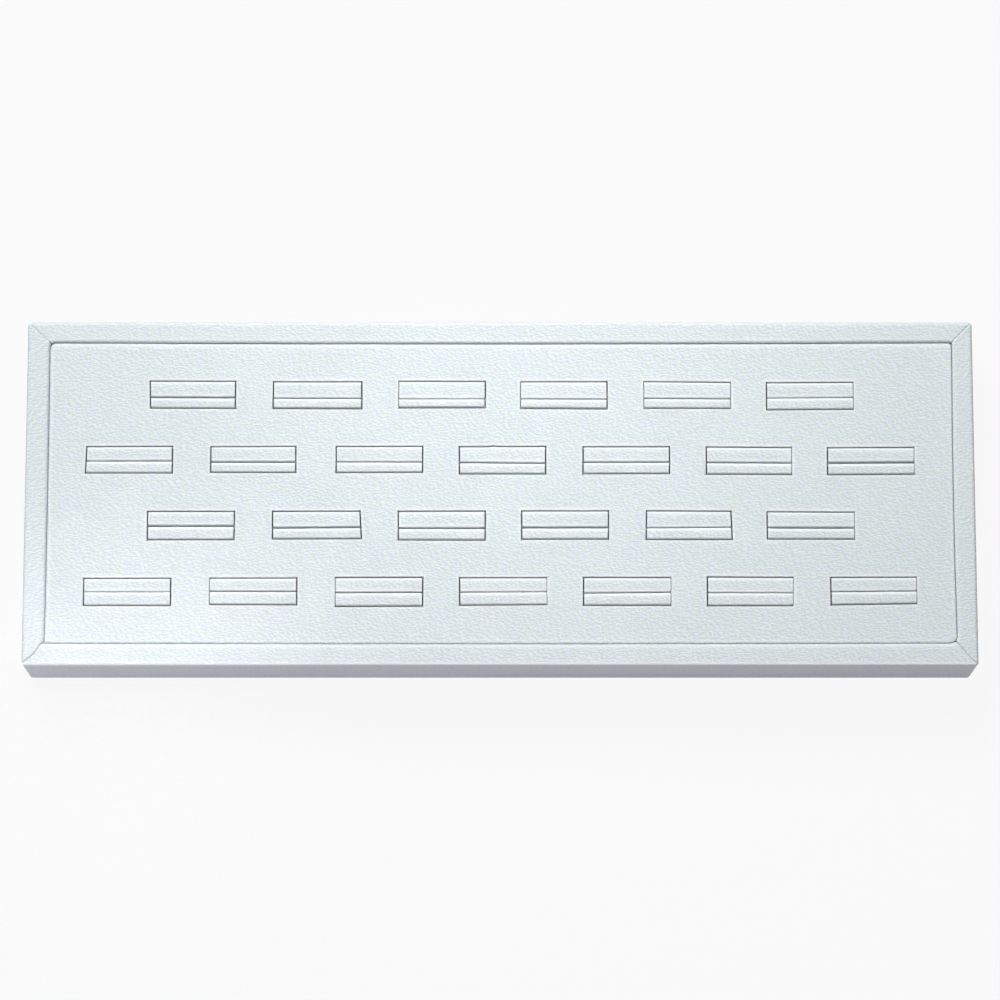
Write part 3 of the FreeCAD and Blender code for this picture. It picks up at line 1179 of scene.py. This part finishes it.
@dataclass
class Deck:
    """The covered card panel with its cut windows. Its grid's lines are in millimetres."""

    layout: Layout
    slots: list[RingSlot]
    pocket: Pocket
    rim_radius: float = 0.3 * MM
    edge_radius: float = 0.6 * MM
    edge_reach: EdgeShares = EdgeShares(front=0.25 * MM, back=0.3 * MM, left=0.34 * MM,
                                        right=0.32 * MM)
    rim_lines_out: tuple[float, ...] = (0.0, 0.05, 0.12, 0.22, 0.34, 0.6, 1.1)
    rim_lines_in: tuple[float, ...] = (0.07, 0.2)
    edge_lines: tuple[float, ...] = (0.0, 0.04, 0.12, 0.24, 0.4, 0.57, 0.62, 0.72, 1.0, 1.4, 1.9,
                                     2.6)
    nick_lines: tuple[float, ...] = (-0.7, -0.35, 0.0, 0.35, 0.7)
    fill_pitch: float = 3.2 * MM
    overcut_width: float = 0.075 * MM
    overcut_depth: float = 0.5 * MM
    edge_fade: float = 3 * MM
    edge_leg: float = 0.6 * MM
    thinnest: float = 0.05 * MM
    lining_start: float = 0.3 * MM
    # Painted highlight beside each window's rim and beside the deck's edge, of a strength for each
    # side.
    rim_pales: EdgeShares = EdgeShares(front=0.35, back=0.9, left=0.35, right=0.3)
    rim_pale_place: float = 0.35 * MM
    rim_pale_width: float = 0.3 * MM
    edge_pales: EdgeShares = EdgeShares(front=0.3, back=0.6, left=0.3, right=0.1)
    edge_pale_place: float = 0.7 * MM
    edge_pale_width: float = 0.36 * MM

    def grid_lines(self, axis: Axis, fine: bool) -> np.ndarray:
        """Lines of the deck's grid along one axis.

        Every side of a window has its own line. A fine grid has more beside it, where the rim
        rolls down, and beside the deck's edge. The rest is filled at an even pitch.

        Args:
            axis: The axis that the lines are placed along.
            fine: Whether the rims are rounded.

        Returns:
            The places of the lines, in order.
        """
        x_axis = axis is Axis.X
        half_deck = self.layout.deck_half_length if x_axis else self.layout.deck_half_depth
        anchors = []
        lines = []
        for slot in self.slots:
            half = slot.half_length if x_axis else slot.half_width
            for sign in (-1, 1):
                side = slot.centre[axis.value] + sign * half
                anchors.append(side)
                if fine:
                    lines += [side + sign * out * MM for out in self.rim_lines_out]
                    lines += [side - sign * inside * MM for inside in self.rim_lines_in]
            if fine and x_axis and slot.cut.nick is not None:
                lines += [slot.centre[0] + slot.cut.nick + step * MM for step in self.nick_lines]
        lines += anchors
        border = self.edge_lines if fine else (0.0,)
        lines += [sign * (half_deck - q * MM) for sign in (-1, 1) for q in border]
        fill = np.arange(-half_deck + self.fill_pitch, half_deck - self.fill_pitch, self.fill_pitch)
        clear = np.abs(fill[:, None] - np.array(anchors)).min(axis=1) > self.fill_pitch / 2
        return np.unique(np.round(np.concatenate([lines, fill[clear]]), 6))

    def grid(self, fine: bool) -> tuple[np.ndarray, np.ndarray, np.ndarray]:
        """The deck's grid before it is moved.

        Args:
            fine: Whether the rims are rounded.

        Returns:
            Places along x and y, and which cells are not in a window.
        """
        x, y = np.meshgrid(*(self.grid_lines(axis, fine) for axis in Axis), indexing="ij")
        middle_x = (x[:-1, :-1] + x[1:, 1:]) / 2
        middle_y = (y[:-1, :-1] + y[1:, 1:]) / 2
        kept = np.ones(middle_x.shape, bool)
        for slot in self.slots:
            kept &= ~slot.holds(middle_x, middle_y)
        return x, y, kept

    def moved(self, x: np.ndarray, y: np.ndarray) -> Pair:
        """The grid as it lies: the windows' corners strayed, the edges drawn out towards the
        pocket's sides and the whole moved with the pocket."""
        move_x, move_y = np.zeros_like(x), np.zeros_like(y)
        for slot in self.slots:
            along, across = slot.moved(x, y)
            move_x += along
            move_y += across
        near_x = 1 - smooth_step((self.layout.deck_half_length - np.abs(x)) / self.edge_fade)
        near_y = 1 - smooth_step((self.layout.deck_half_depth - np.abs(y)) / self.edge_fade)
        reach = self.edge_reach
        out_x = x + np.where(x > 0, reach.right, -reach.left) * near_x
        out_y = y + np.where(y > 0, reach.back, -reach.front) * near_y
        pocket_x, pocket_y = self.pocket.moved(out_x, out_y)
        return out_x + move_x + pocket_x, out_y + move_y + pocket_y

    def cover_shell(self) -> Shell:
        """The leatherette over the deck.

        Its height is the deck's top, less a quarter round at each window's rim and at the deck's
        edge, less the knife cuts. Its back is flat on the card, and reaches down the card's edge.

        Returns:
            The cover.
        """
        x, y, kept = self.grid(fine=True)
        layout = self.layout
        inset_x, inset_y = layout.deck_half_length - np.abs(x), layout.deck_half_depth - np.abs(y)
        inset = np.minimum(inset_x, inset_y)
        drop = roll_drop(inset, self.edge_radius)
        # Painted highlight in a band beside the deck's edge, of a strength for each side.
        painted_light = hump(inset - self.edge_pale_place, self.edge_pale_width)
        painted_light = painted_light * self.edge_pales.by_side(inset_x < inset_y, x > 0, y > 0)
        for slot in self.slots:
            outside = slot.outside(x, y)
            drop = np.maximum(drop, roll_drop(outside, self.rim_radius))
            cuts = slot.groove_of_cuts(x, y, self.overcut_width, self.overcut_depth)
            drop = np.maximum(drop, cuts)
            over_x = np.abs(x - slot.centre[0]) - slot.half_length
            over_y = np.abs(y - slot.centre[1]) - slot.half_width
            # Painted highlight in a band beside each window's rim, of a strength for each side.
            side = self.rim_pales.by_side(over_x > over_y, x > slot.centre[0], y > slot.centre[1])
            painted_light = np.maximum(painted_light, hump(outside - self.rim_pale_place, self.rim_pale_width) * side)
        top = layout.deck_top - drop
        card_top = layout.deck_top - layout.skin
        back_level = np.where(inset > self.edge_leg, card_top, layout.deck_underside)
        back = np.minimum(back_level, top - self.thinnest)
        # The backing fabric shows from a little inside the edge; its colour carries painted shade
        # in the gaps.
        lining = smooth_step((inset - self.lining_start) / self.lining_start)
        return Shell.upright(*self.moved(x, y), top, back, sheet=np.stack([x, y], axis=-1),
                             stretch=painted_light, kept=kept, lining=lining)

    def card_shell(self) -> Shell:
        """The card panel: flat on both sides, inside the cover's edge, with the same windows."""
        x, y, kept = self.grid(fine=False)
        layout = self.layout
        x = np.clip(x, layout.skin - layout.deck_half_length, layout.deck_half_length - layout.skin)
        y = np.clip(y, layout.skin - layout.deck_half_depth, layout.deck_half_depth - layout.skin)
        return Shell.upright(*self.moved(x, y), layout.deck_top - layout.skin,
                             layout.deck_underside, kept=kept)

    def build(self, finishes: dict[Slot, bpy.types.Material]) -> None:
        """Makes the cover and the card."""
        self.cover_shell().piece("deck_cover", finishes[Slot.DECK], Slot.DECK, ["deck_skin"])
        self.card_shell().piece("deck_card", finishes[Slot.CARD], Slot.CARD, ["deck_board"])


def corner_slide(inset: np.ndarray, away: np.ndarray, radius: np.ndarray) -> Pair:
    """Rounds the corner of a rectangle and of every rectangle inset from it.

    At an inset the corner's own radius is what is left of the outer one. A point that lies away
    from the square corner by less than that slides onto the arc, at half a right angle where it
    was in the corner and at none where the arc begins.

    Args:
        inset: Distance inward from the outline.
        away: Distance along the inset rectangle from its square corner.
        radius: Radius of the outline's corner.

    Returns:
        How far to move inward, and how far to move away from the corner.
    """
    left = np.maximum(radius - inset, 0)
    safe = np.maximum(left, 1e-9)
    angle = QUARTER_TURN / 2 * (1 - np.minimum(away / safe, 1))
    on_arc = away < left
    inward = np.where(on_arc, left * (1 - np.cos(angle)), 0)
    onward = np.where(on_arc, left * (1 - np.sin(angle)) - away, 0)
    return inward, onward


@dataclass(frozen=True)
class Seam:
    """The cut between two border covers at a corner, as it runs in from the outer corner.

    Places are in metres from the outer corner: along the insert, then across it. The seam is
    straight to the knee and turns there towards its end at the pocket. It gapes by one width at the
    outer corner and by another at the pocket.
    """

    start: tuple[float, float]
    knee: tuple[float, float]
    end: tuple[float, float]
    outer_gap: float
    inner_gap: float

    def place(self, inward: np.ndarray, across: bool) -> np.ndarray:
        """How far across the insert the seam lies at each distance along it, or the other way
        round."""
        ways = np.array([self.start, self.knee, self.end])
        return np.interp(inward, ways[:, 0 if across else 1], ways[:, 1 if across else 0])

    def gap(self, inward: np.ndarray) -> np.ndarray:
        """How far the seam gapes at each distance from the outer edge."""
        return np.interp(inward, [0, self.end[0]], [self.outer_gap, self.inner_gap])


@dataclass
class Border:
    """The four leatherette covers of the rails, which meet in seams at the corners."""

    layout: Layout
    pocket: Pocket
    outer_radii: EdgeShares = EdgeShares(front=0.55 * MM, back=1.0 * MM, left=1.0 * MM,
                                         right=1.0 * MM)
    inner_radius: float = 0.85 * MM
    bottom_radius: float = 0.7 * MM
    leg_short: float = 0.2 * MM
    run_steps: tuple[int, ...] = (8, 8, 10, 3)
    turn_steps: int = 8
    seam_level: float = 0.8
    seam_dip: float = 0.16 * MM
    seam_reach: float = 0.3 * MM
    # Painted shade along the outer rolled edge, for each side, and its reach.
    soil: EdgeShares = EdgeShares(front=0.0, back=0.9, left=0.85, right=0.7)
    soil_reach: float = 0.65 * MM
    end_lines: tuple[float, ...] = (0.0, 0.06, 0.14, 0.24, 0.38, 0.6, 0.9, 1.3, 2.0, 3.2)
    pitch: float = 4.0 * MM
    fewest_steps: int = 4
    sheet_apart: tuple[float, float] = (0.37, 0.21)
    # Painted highlight bands on the outer and inner top edges, of a strength for each side.
    edge_pale: float = 0.5 * MM
    pale_place: float = 0.4
    outer_pales: EdgeShares = EdgeShares(front=1.0, back=0.3, left=0.0, right=0.0)
    inner_pales: EdgeShares = EdgeShares(front=0.4, back=0.4, left=0.0, right=0.1)
    corner_radii: dict[Corner, float] = field(default_factory=lambda: {
        BACK_LEFT: 1.3 * MM, BACK_RIGHT: 1.0 * MM, FRONT_LEFT: 0.5 * MM, FRONT_RIGHT: 0.9 * MM})

    def seams(self) -> dict[Corner, Seam]:
        """The seam at each corner."""
        outer, half = (0.0, 0.0), (self.layout.end_border / 2, self.layout.long_border / 2)
        pocket = (self.layout.end_border, self.layout.long_border)
        beside = (pocket[0] - 0.9 * MM, pocket[1])
        return {BACK_LEFT: Seam(outer, (4.3 * MM, 4.1 * MM), pocket, outer_gap=0.05 * MM,
                                inner_gap=0.08 * MM),
                BACK_RIGHT: Seam(outer, half, pocket, outer_gap=0.12 * MM, inner_gap=0.03 * MM),
                FRONT_LEFT: Seam((0.0, 0.5 * MM), (3.8 * MM, 3.6 * MM), beside,
                                 outer_gap=0.32 * MM, inner_gap=0.2 * MM),
                FRONT_RIGHT: Seam(outer, half, pocket, outer_gap=0.13 * MM, inner_gap=0.16 * MM)}

    def path(self, width: float, outer_radius: float) -> Pair:
        """The cover's section, as distance inward and height.

        It runs from the edge of the flap, round the outside and over the top to the foot of the leg
        beside the deck. Below the top the seam comes back to a plain mitre.

        Args:
            width: Width of the border on this side.
            outer_radius: Radius of its outer top edge.

        Returns:
            Its points and their outward normals.
        """
        layout = self.layout
        foot = layout.deck_underside + self.leg_short
        corners = np.array([(layout.flap_width, layout.flap_level), (0, layout.flap_level),
                            (0, layout.height), (width, layout.height), (width, foot)])
        radii = [self.bottom_radius, outer_radius, self.inner_radius]
        return rounded_path(corners, radii, self.run_steps, self.turn_steps)

    def shell(self, side: Side) -> Shell:
        """One cover.

        Each point of the section is carried along the side between the two seams. Beside a seam
        the sheet dips, the outer corners are rounded, and the grain lies along the insert.

        Args:
            side: The side that it covers.

        Returns:
            The cover.
        """
        layout = self.layout
        width = layout.end_border if side.is_end else layout.long_border
        outer_radius, soil, outer_highlight, inner_highlight = (
            getattr(shares, side.name.lower())
            for shares in (self.outer_radii, self.soil, self.outer_pales, self.inner_pales))
        path, normal = self.path(width, outer_radius)
        girth = girth_along(path)
        shown = self.surface(side, path, normal, 0.0)
        hidden = self.surface(side, path, normal, layout.skin)
        rows = shown.shape[0]
        along = shown[..., 0] * math.cos(side.turn) + shown[..., 1] * math.sin(side.turn)
        ways = [along, np.repeat(girth[None], rows, axis=0)]
        sheet = np.stack(ways[::-1] if side.is_end else ways, axis=-1)
        sheet += np.array(self.sheet_apart) * (side.value + 1)

        def girth_at(inward: float, height: float) -> float:
            """Where the section passes nearest to a point."""
            return girth[np.argmin(np.hypot(path[:, 0] - inward, path[:, 1] - height))]

        # Painted highlight in bands on the outer top edge and beside the pocket.
        outer_turn = girth_at(self.pale_place * outer_radius, layout.height)
        painted_light = outer_highlight * hump(girth - outer_turn, self.edge_pale)
        inner_turn = girth_at(width - self.inner_radius, layout.height)
        painted_light = np.maximum(painted_light, inner_highlight * hump(girth - inner_turn, self.edge_pale))
        # Painted shade on the outer rolled edge, taken off the highlight.
        painted_light -= soil * hump(girth - girth_at(0, layout.height - outer_radius), self.soil_reach)
        return Shell.between(shown, hidden, sheet, np.repeat(painted_light[None], rows, axis=0))

    def surface(self, side: Side, path: np.ndarray, normal: np.ndarray, sunk: float) -> np.ndarray:
        """The section's points carried along a side.

        Args:
            side: The side.
            path: The section, as distance inward and height.
            normal: Its outward normals.
            sunk: How far inside the section the surface lies.

        Returns:
            Points, by lines along the side and by points of the section.
        """
        layout = self.layout
        half_along, half_across = layout.length / 2, layout.depth / 2
        if side.is_end:
            half_along, half_across = half_across, half_along
        section = path - normal * sunk
        inward, height = section[:, 0], section[:, 1]
        seams = self.seams()
        start, end = side.corners
        upper = smooth_step(height / (self.seam_level * layout.height))
        first, last = (inward + (seams[corner].place(inward, side.is_end) - inward) * upper
                       + seams[corner].gap(inward) / 2 for corner in (start, end))
        near = np.array(self.end_lines)[:, None] * MM
        low, high = first - half_along + near, half_along - last - near[::-1]
        steps = max(int(2 * half_along / self.pitch), self.fewest_steps)
        share = np.linspace(0, 1, steps + 1)[1:-1, None]
        along = np.concatenate([low, low[-1] * (1 - share) + high[0] * share, high])
        to_start, to_end = along + half_along - first, half_along - last - along
        away = np.minimum(to_start, to_end)
        at_start = to_start < to_end
        radius = np.where(at_start, self.corner_radii[start], self.corner_radii[end])
        across = np.repeat(inward[None], len(along), axis=0)
        slide_in, slide_on = corner_slide(across, away, radius)
        dip = self.seam_dip * hump(away, self.seam_reach) * (1 if sunk == 0 else 0)
        across = across + slide_in - dip * normal[:, 0]
        level = np.repeat(height[None], len(along), axis=0) - dip * normal[:, 1]
        along = along + np.where(at_start, slide_on, -slide_on)
        flat_y = across - half_across
        x = along * math.cos(side.turn) - flat_y * math.sin(side.turn)
        y = along * math.sin(side.turn) + flat_y * math.cos(side.turn)
        pocket_x, pocket_y = self.pocket.moved(x, y)
        on_top = height > layout.height / 2
        return np.stack([x + pocket_x * on_top, y + pocket_y * on_top, level], axis=-1)

    def build(self, finishes: dict[Slot, bpy.types.Material]) -> None:
        """Makes a cover for each rail."""
        for side in Side:
            name = side.name.lower()
            self.shell(side).piece(f"{name}_border_cover", finishes[Slot.BORDER], Slot.BORDER,
                                   [f"{name}_rail_wrap"])


@dataclass
class RingPads:
    """The padded lobes in the windows: two strips of foam, each in a leatherette cover, pressed
    together at the slit."""

    layout: Layout
    slots: list[RingSlot]
    shoulder: float = 0.42 * MM
    crown: float = 0.12 * MM
    closing_run: float = 0.7 * MM
    clearance: float = 0.02 * MM
    end_round: float = 0.22 * MM
    waver: float = 0.035 * MM
    waver_length: float = 12 * MM
    bow_power: int = 6
    lift: float = 0.05 * MM
    pitch: float = 1.3 * MM
    run_steps: tuple[int, ...] = (10, 8, 10)
    turn_steps: int = 8
    end_closing: float = 0.9
    end_reach: float = 1.0 * MM
    sheet_apart: tuple[float, float] = (0.1, 0.07)
    end_lines: tuple[float, ...] = (0.0, 0.03, 0.08, 0.15, 0.22, 0.4, 0.7)
    # Painted highlight on the lobes' shoulders and ends, of a strength for each side.
    pale_reach: float = 0.34 * MM
    slit_pale: float = 1.0
    back_pale: float = 0.8
    front_pale: float = 0.3
    end_pale: float = 0.3
    end_pale_place: float = 0.3 * MM
    shoulder_pale_place: float = 0.45 * MM
    foam_shrink: float = 0.03 * MM
    foam_round: float = 0.3 * MM
    foam_waver_length: float = 9 * MM
    foam_lines: tuple[int, int] = (18, 7)

    def along(self, slot: RingSlot) -> Pair:
        """Lines along a lobe, closer at its ends.

        Args:
            slot: The slot that it fills.

        Returns:
            Their places from the slot's centre, and their distance from the nearer end.
        """
        low = slot.cut.left_gap - slot.half_length
        high = slot.half_length - slot.cut.right_gap
        near = np.array(self.end_lines) * MM
        middle = np.linspace(low + near[-1], high - near[-1], int((high - low) / self.pitch))[1:-1]
        places = np.concatenate([low + near, middle, high - near[::-1]])
        return places, np.minimum(places - low, high - places)

    @staticmethod
    def faces(slot: RingSlot, back: bool) -> tuple[float, float]:
        """Where a lobe's front and back faces stand, from the window's middle."""
        cut = slot.cut
        if back:
            return slot.slit + cut.slit_gap / 2, slot.half_width - cut.back_gap
        return cut.front_gap - slot.half_width, slot.slit - cut.slit_gap / 2

    def lobe(self, slot: RingSlot, back: bool) -> Shell:
        """One covered lobe.

        Its section runs up its front face, over a round shoulder, a low crown and the other
        shoulder, and down its back face. Below the shoulders the foam bulges until it meets the
        window or the other lobe. The section is carried along the slot with the slit's face bowed
        open or wavering, and its ends are rounded and follow the window's sides.

        Args:
            slot: The slot that it fills.
            back: Whether it is the lobe behind the slit.

        Returns:
            The lobe's cover.
        """
        cut = slot.cut
        front_face, back_face = self.faces(slot, back)
        half, middle = (back_face - front_face) / 2, (back_face + front_face) / 2
        seed = slot.seed * 2 + int(back)
        top = slot.pad_top - self.crown - self.lift * np.random.default_rng(seed).random()
        corners = np.array([(-half, slot.foot), (-half, top), (half, top), (half, slot.foot)])
        path, normal = rounded_path(corners, [self.shoulder] * 2, self.run_steps, self.turn_steps)
        places, to_end = self.along(slot)
        rise = self.crown * (1 - np.square(path[:, 0] / half)) * (path[:, 1] > top - self.shoulder)
        # Painted highlight on the shoulders and near the ends.
        painted_light = self.pales(path[:, 0], half, path[:, 1] > top - self.shoulder, back)
        end_bell = hump(to_end[:, None] - self.end_pale_place, self.end_pale_place)
        painted_light = np.maximum(painted_light[None], self.end_pale * end_bell)
        face = smooth_step((-path[:, 0] if back else path[:, 0]) / half)
        bowed = cut.slit_opening / 2 * (1 - np.abs(places / slot.half_length) ** self.bow_power)
        moved = wander(places, seed, self.waver, self.waver_length) + bowed
        closing = smooth_step((top - self.shoulder - path[:, 1]) / self.closing_run)
        sideways = (moved if back else -moved)[:, None] * face * (1 - closing)
        window_gap = cut.back_gap if back else cut.front_gap
        spare = np.where((path[:, 0] > 0) == back, window_gap, cut.slit_gap / 2)
        sideways = sideways + np.sign(path[:, 0]) * (spare - self.clearance) * closing
        sideways = sideways + (cut.slit_tilt / 2 * places / slot.half_length)[:, None] * face
        end_spare = np.where(places < 0, -cut.left_gap, cut.right_gap)
        end_spare = end_spare * (1 - smooth_step(to_end / self.end_reach))
        lengthways = end_spare[:, None] * closing * self.end_closing
        girth = girth_along(path)
        grids = []
        for sunk in (0.0, self.layout.skin):
            inset = roll_drop(to_end, self.end_round)[:, None] if sunk == 0 else sunk
            y = middle + path[:, 0] - normal[:, 0] * inset + sideways
            z = path[:, 1] + rise - normal[:, 1] * inset
            points = np.broadcast_arrays(*slot.carried(places[:, None] + lengthways, y), z)
            grids.append(np.stack(points, axis=-1))
        shift_along, shift_round = (apart * seed for apart in self.sheet_apart)
        sheet = np.broadcast_arrays(places[:, None] + shift_along, girth[None] + shift_round)
        return Shell.between(grids[0], grids[1], np.stack(sheet, axis=-1), painted_light)

    def pales(self, across: np.ndarray, half: float, shown: np.ndarray, back: bool) -> np.ndarray:
        """How much painted highlight the section takes: strongest on the shoulders beside the slit
        and at the back.

        Args:
            across: Distance of each point from the lobe's middle.
            half: Half the lobe's width.
            shown: Whether the point is on the top.
            back: Whether it is the lobe behind the slit.

        Returns:
            The share of painted highlight for each point.
        """
        front_share = self.slit_pale if back else self.front_pale
        back_share = self.back_pale if back else self.slit_pale
        place = half - self.shoulder_pale_place
        front = front_share * hump(across + place, self.pale_reach)
        behind = back_share * hump(across - place, self.pale_reach)
        return np.maximum(front, behind) * shown

    def foam_strip(self, slot: RingSlot, back: bool) -> Shell:
        """The foam inside one lobe: a block with a rounded, slightly uneven top."""
        cut = slot.cut
        skin = self.layout.skin + self.foam_shrink
        front_face, back_face = self.faces(slot, back)
        x = np.linspace(cut.left_gap - slot.half_length + self.end_round,
                        slot.half_length - cut.right_gap - self.end_round, self.foam_lines[0])
        y = np.linspace(front_face + skin, back_face - skin, self.foam_lines[1])
        x, y = np.meshgrid(x, y, indexing="ij")
        edge = np.minimum.reduce([x - x.min(), x.max() - x, y - y.min(), y.max() - y])
        top = slot.pad_top - self.crown - self.lift - self.layout.skin
        top = top - roll_drop(edge, self.foam_round)
        top = top - np.abs(wander(x + y, slot.seed, self.foam_shrink, self.foam_waver_length))
        return Shell.upright(*slot.carried(x, y), top, slot.foot)

    def build(self, finishes: dict[Slot, bpy.types.Material]) -> None:
        """Makes the pad of each slot, and the foam of each row as one piece."""
        foam: dict[str, list[Shell]] = {}
        for slot in self.slots:
            lobes = Shell.joined([self.lobe(slot, back) for back in (False, True)])
            pad = lobes.piece(f"ring_pad_{slot.name}", finishes[Slot.PAD], Slot.PAD,
                              [PAD_NODE + slot.name])
            strips = foam.setdefault(slot.name[0], [])
            strips += [self.foam_strip(slot, back) for back in (False, True)]
        for row, strips in foam.items():
            piece = Shell.joined(strips).piece(f"foam_strips_{row}", finishes[Slot.FOAM], Slot.FOAM,
                                               [f"foam_cores_row_{row}"])


def make_finishes() -> dict[Slot, bpy.types.Material]:
    """One material for each slot of the record.

    Returns:
        The materials by slot. Wood has a second one, across the insert, in dress_nodes.
    """
    white = (0.797, 0.876, 0.898)
    # Colour of the grain's hollows: painted shade of the relief.
    valley = (0.67, 0.745, 0.774)
    covers = {slot: Leatherette(f"{slot.value}_white", white, valley).material()
              for slot in (Slot.BORDER, Slot.DECK, Slot.PAD)}
    return covers | {
        Slot.FOAM: Board("foam_cells", light=(0.78, 0.76, 0.70), dark=(0.52, 0.49, 0.43),
                         fibre_mm=(0.5, 0.5, 0.5), fleck_mm=0.45, fleck=0.6, roughness=0.9,
                         relief=0.12 * MM).material(),
        Slot.WOOD: Wood("wood_along", Axis.X).material(),
        Slot.HARDBOARD: Board("hardboard_brown", light=(0.30, 0.185, 0.10),
                              dark=(0.17, 0.10, 0.055), fibre_mm=(1.6, 0.5, 0.5), fleck_mm=0.8,
                              fleck=0.35, roughness=0.7, relief=0.05 * MM).material(),
        Slot.CARD: Board("card_grey", light=(0.56, 0.54, 0.49), dark=(0.40, 0.38, 0.34),
                         fibre_mm=(2.2, 0.35, 0.35), fleck_mm=1.4, fleck=0.2, roughness=0.85,
                         relief=0.03 * MM).material(),
        Slot.PAPER: Board("backing_paper_white", light=(0.74, 0.73, 0.69), dark=(0.60, 0.585, 0.54),
                          fibre_mm=(3.0, 0.5, 0.5), fleck_mm=1.1, fleck=0.25, roughness=0.8,
                          relief=0.025 * MM).material(),
    }


def dress_nodes(finishes: dict[Slot, bpy.types.Material]) -> None:
    """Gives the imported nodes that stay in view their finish."""
    across = Wood("wood_across", Axis.Y).material()
    dressed = {"base_board": (Slot.HARDBOARD, finishes[Slot.HARDBOARD]),
               "backing_sheet": (Slot.PAPER, finishes[Slot.PAPER]),
               "left_rail": (Slot.WOOD, across), "right_rail": (Slot.WOOD, across)}
    for name in ("front_rail", "back_rail", *(f"deck_batten_{n}" for n in range(1, 6))):
        dressed[name] = (Slot.WOOD, finishes[Slot.WOOD])
    for name, (slot, material) in dressed.items():
        node = frame["nodes"][name]
        for material_slot in node.material_slots:
            material_slot.material = material
        log.info("%s: %s", name, material.name)


def light() -> None:
    """Soft lamps: a large one at the back on the left, a weak low one at the front on the left, and
    two with narrow beams nearly overhead."""
    lamps = (
        Lamp("back_lamp", place=(-0.3, 1.05, 1.45), aim=(0.0, 0.0, 0.0), size=1.1, share=0.69),
        Lamp("front_lamp", place=(-0.42, -0.36, 0.10), aim=(-0.1, -0.05, 0.013), size=0.2,
             share=0.042, colour=(1.0, 0.93, 1.02)),
        Lamp("middle_lamp", place=(-0.005, 0.27, 1.0), aim=(-0.004, 0.048, 0.025), size=0.16,
             share=0.42, beam=math.radians(14)),
        Lamp("corner_lamp", place=(-0.219, 0.075, 1.025), aim=(-0.115, -0.075, 0.025), size=0.03,
             share=0.50, beam=math.radians(9.5)),
    )
    for lamp in lamps:
        lamp.build()


def read_slots(layout: Layout) -> list[RingSlot]:
    """The slots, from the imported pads, in the order of their names."""
    cuts = hand_cuts()
    nodes = sorted(name for name in frame["nodes"] if name.startswith(PAD_NODE))
    return [RingSlot.from_node(node, seed, cuts, layout) for seed, node in enumerate(nodes, 1)]


def main() -> None:
    """Builds the camera, the studio and the pieces, in order."""
    logging.basicConfig(level=logging.INFO, format="%(name)s %(message)s", stream=sys.stdout)
    bpy.context.scene.view_settings.view_transform = "Standard"
    layout = Layout.from_frame()
    slots = read_slots(layout)
    PhotoView().build(layout)
    Studio().build()
    light()
    finishes = make_finishes()
    pocket = Pocket(layout)
    Border(layout, pocket).build(finishes)
    Deck(layout, slots, pocket).build(finishes)
    RingPads(layout, slots).build(finishes)
    dress_nodes(finishes)


if __name__ == "__main__":
    main()
